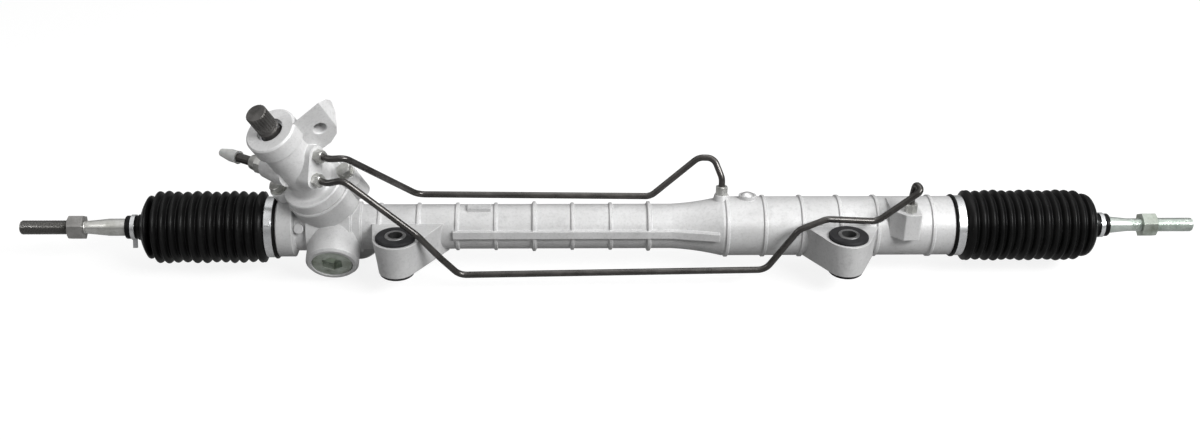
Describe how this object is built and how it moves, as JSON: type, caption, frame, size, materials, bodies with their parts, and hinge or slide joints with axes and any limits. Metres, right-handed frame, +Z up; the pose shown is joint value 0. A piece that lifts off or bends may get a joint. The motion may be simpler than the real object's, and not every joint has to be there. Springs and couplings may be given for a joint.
{
  "type": "steering rack",
  "caption": "Hydraulic power steering rack with rotary valve tower, ribbed alloy housing, power cylinder, transfer pipes, bellows, inner ball joints and tie rods.",
  "frame": {"origin": "midway between the two mounting bushes, level with the lower ends of their sleeves", "axes": "+X along the rack towards the power cylinder, -Y to the front, +Z up along the mounting bolts"},
  "size_m": [1.172, 0.1282, 0.2035],
  "materials": {
    "cast_alloy": "cast, fine sand texture, satin",
    "tower_alloy": "cast, fine sand texture, satin",
    "plated_steel": "zinc plated",
    "seal_rubber": "matt",
    "bearing_steel": "ground",
    "spring_steel": "bright, rolled",
    "cap_steel": "zinc plated",
    "yoke_alloy": "turned",
    "liner_plastic": "low friction",
    "zinc_olive": "olive zinc plated",
    "bush_rubber": "moulded, matt",
    "sleeve_steel": "phosphated",
    "plug_steel": "pressed",
    "pipe_black": "thin black coat over steel",
    "tube_black": "black",
    "cap_white": "moulded",
    "ground_steel": "ground and oiled",
    "shaft_dark": "dark, hardened",
    "forged_steel": "forged and phosphated",
    "rod_steel": "plated",
    "nut_steel": "plated",
    "bellows_rubber": "moulded, semi-matt"
  },
  "bodies": {
    "housing": {"rack_housing": "cast_alloy", "valve_housing": "tower_alloy", "valve_housing_bolts": "plated_steel", "valve_housing_seal": "seal_rubber", "input_shaft_bearing": "bearing_steel", "input_shaft_seal": "seal_rubber", "input_shaft_snap_ring": "spring_steel", "pinion_upper_bearing": "bearing_steel", "pinion_seal": "seal_rubber", "pinion_lower_bearing": "bearing_steel", "pinion_end_cap": "cap_steel", "yoke": "yoke_alloy", "yoke_liner": "liner_plastic", "yoke_seal": "seal_rubber", "yoke_spring": "spring_steel", "yoke_adjuster_plug": "zinc_olive", "left_bush_rubber": "bush_rubber", "right_bush_rubber": "bush_rubber", "left_bush_sleeve": "sleeve_steel", "right_bush_sleeve": "sleeve_steel", "cylinder_inner_seal": "seal_rubber", "cylinder_outer_seal": "seal_rubber", "cylinder_end_bush": "yoke_alloy", "cylinder_end_ring": "spring_steel", "cylinder_core_plug": "plug_steel", "upper_pipe": "pipe_black", "lower_pipe": "pipe_black", "valve_pipe_nuts": "plated_steel", "cylinder_pipe_nuts": "plated_steel", "return_port_union": "plated_steel", "return_port_tube": "tube_black", "left_bellows": "bellows_rubber", "right_bellows": "bellows_rubber", "bellows_clamps": "spring_steel"},
    "rack": {"rack_bar": "ground_steel", "piston": "yoke_alloy", "piston_ring": "liner_plastic", "piston_clips": "spring_steel", "left_ball_housing": "forged_steel", "right_ball_housing": "forged_steel", "ball_lock_washers": "spring_steel"},
    "pinion_shaft": {"pinion": "ground_steel", "pinion_inner_race": "bearing_steel", "pinion_lower_nut": "ground_steel", "torsion_bar": "ground_steel", "torsion_bar_lower_pin": "ground_steel", "valve_sleeve": "ground_steel", "valve_sleeve_pin": "ground_steel", "valve_sleeve_rings": "liner_plastic"},
    "input": {"input_shaft": "shaft_dark", "torsion_bar_upper_pin": "ground_steel"},
    "left_seat": {"left_ball_seat": "liner_plastic"},
    "left_rod": {"left_tie_rod": "rod_steel", "left_lock_nut": "nut_steel", "left_bellows_clip": "spring_steel"},
    "right_seat": {"right_ball_seat": "liner_plastic"},
    "right_rod": {"right_tie_rod": "rod_steel", "right_lock_nut": "zinc_olive", "right_bellows_clip": "spring_steel"},
    "return_cap": {"return_port_cap": "cap_white"}
  },
  "joints": [
    {"name": "rack_slide", "type": "slide", "parent": "housing", "child": "rack", "axis": [1, 0, 0], "range_m": [-0.072, 0.072], "deforming": ["left_bellows", "right_bellows"]},
    {"name": "pinion_turn", "type": "hinge", "parent": "housing", "child": "pinion_shaft", "pos_m": [-0.28, 0.06413, 0.03351], "axis": [-0.342, -0.4412, 0.8297], "range_deg": [-562, 562]},
    {"name": "valve_twist", "type": "hinge", "parent": "pinion_shaft", "child": "input", "pos_m": [-0.28, 0.06413, 0.03351], "axis": [-0.342, -0.4412, 0.8297], "range_deg": [-4, 4], "stiffness_Nm_per_rad": 60, "deforming": ["torsion_bar"]},
    {"name": "left_ball_swing", "type": "hinge", "parent": "rack", "child": "left_seat", "pos_m": [-0.443, 0.05, 0.026], "axis": [0, 0, 1], "range_deg": [-15, 15]},
    {"name": "left_rod_tilt", "type": "hinge", "parent": "left_seat", "child": "left_rod", "pos_m": [-0.443, 0.05, 0.026], "axis": [0, 1, 0], "range_deg": [-20, 20]},
    {"name": "right_ball_swing", "type": "hinge", "parent": "rack", "child": "right_seat", "pos_m": [0.433, 0.05, 0.026], "axis": [0, 0, 1], "range_deg": [-15, 15]},
    {"name": "right_rod_tilt", "type": "hinge", "parent": "right_seat", "child": "right_rod", "pos_m": [0.433, 0.05, 0.026], "axis": [0, 1, 0], "range_deg": [-20, 20]},
    {"name": "cap_pull", "type": "slide", "parent": "housing", "child": "return_cap", "axis": [-0.8138, 0.5805, -0.0268], "range_m": [0, 0.014]}
  ],
  "couplings": [
    {"joint": "pinion_turn", "follows": "rack_slide", "rad_per_m": 136.05}
  ]
}
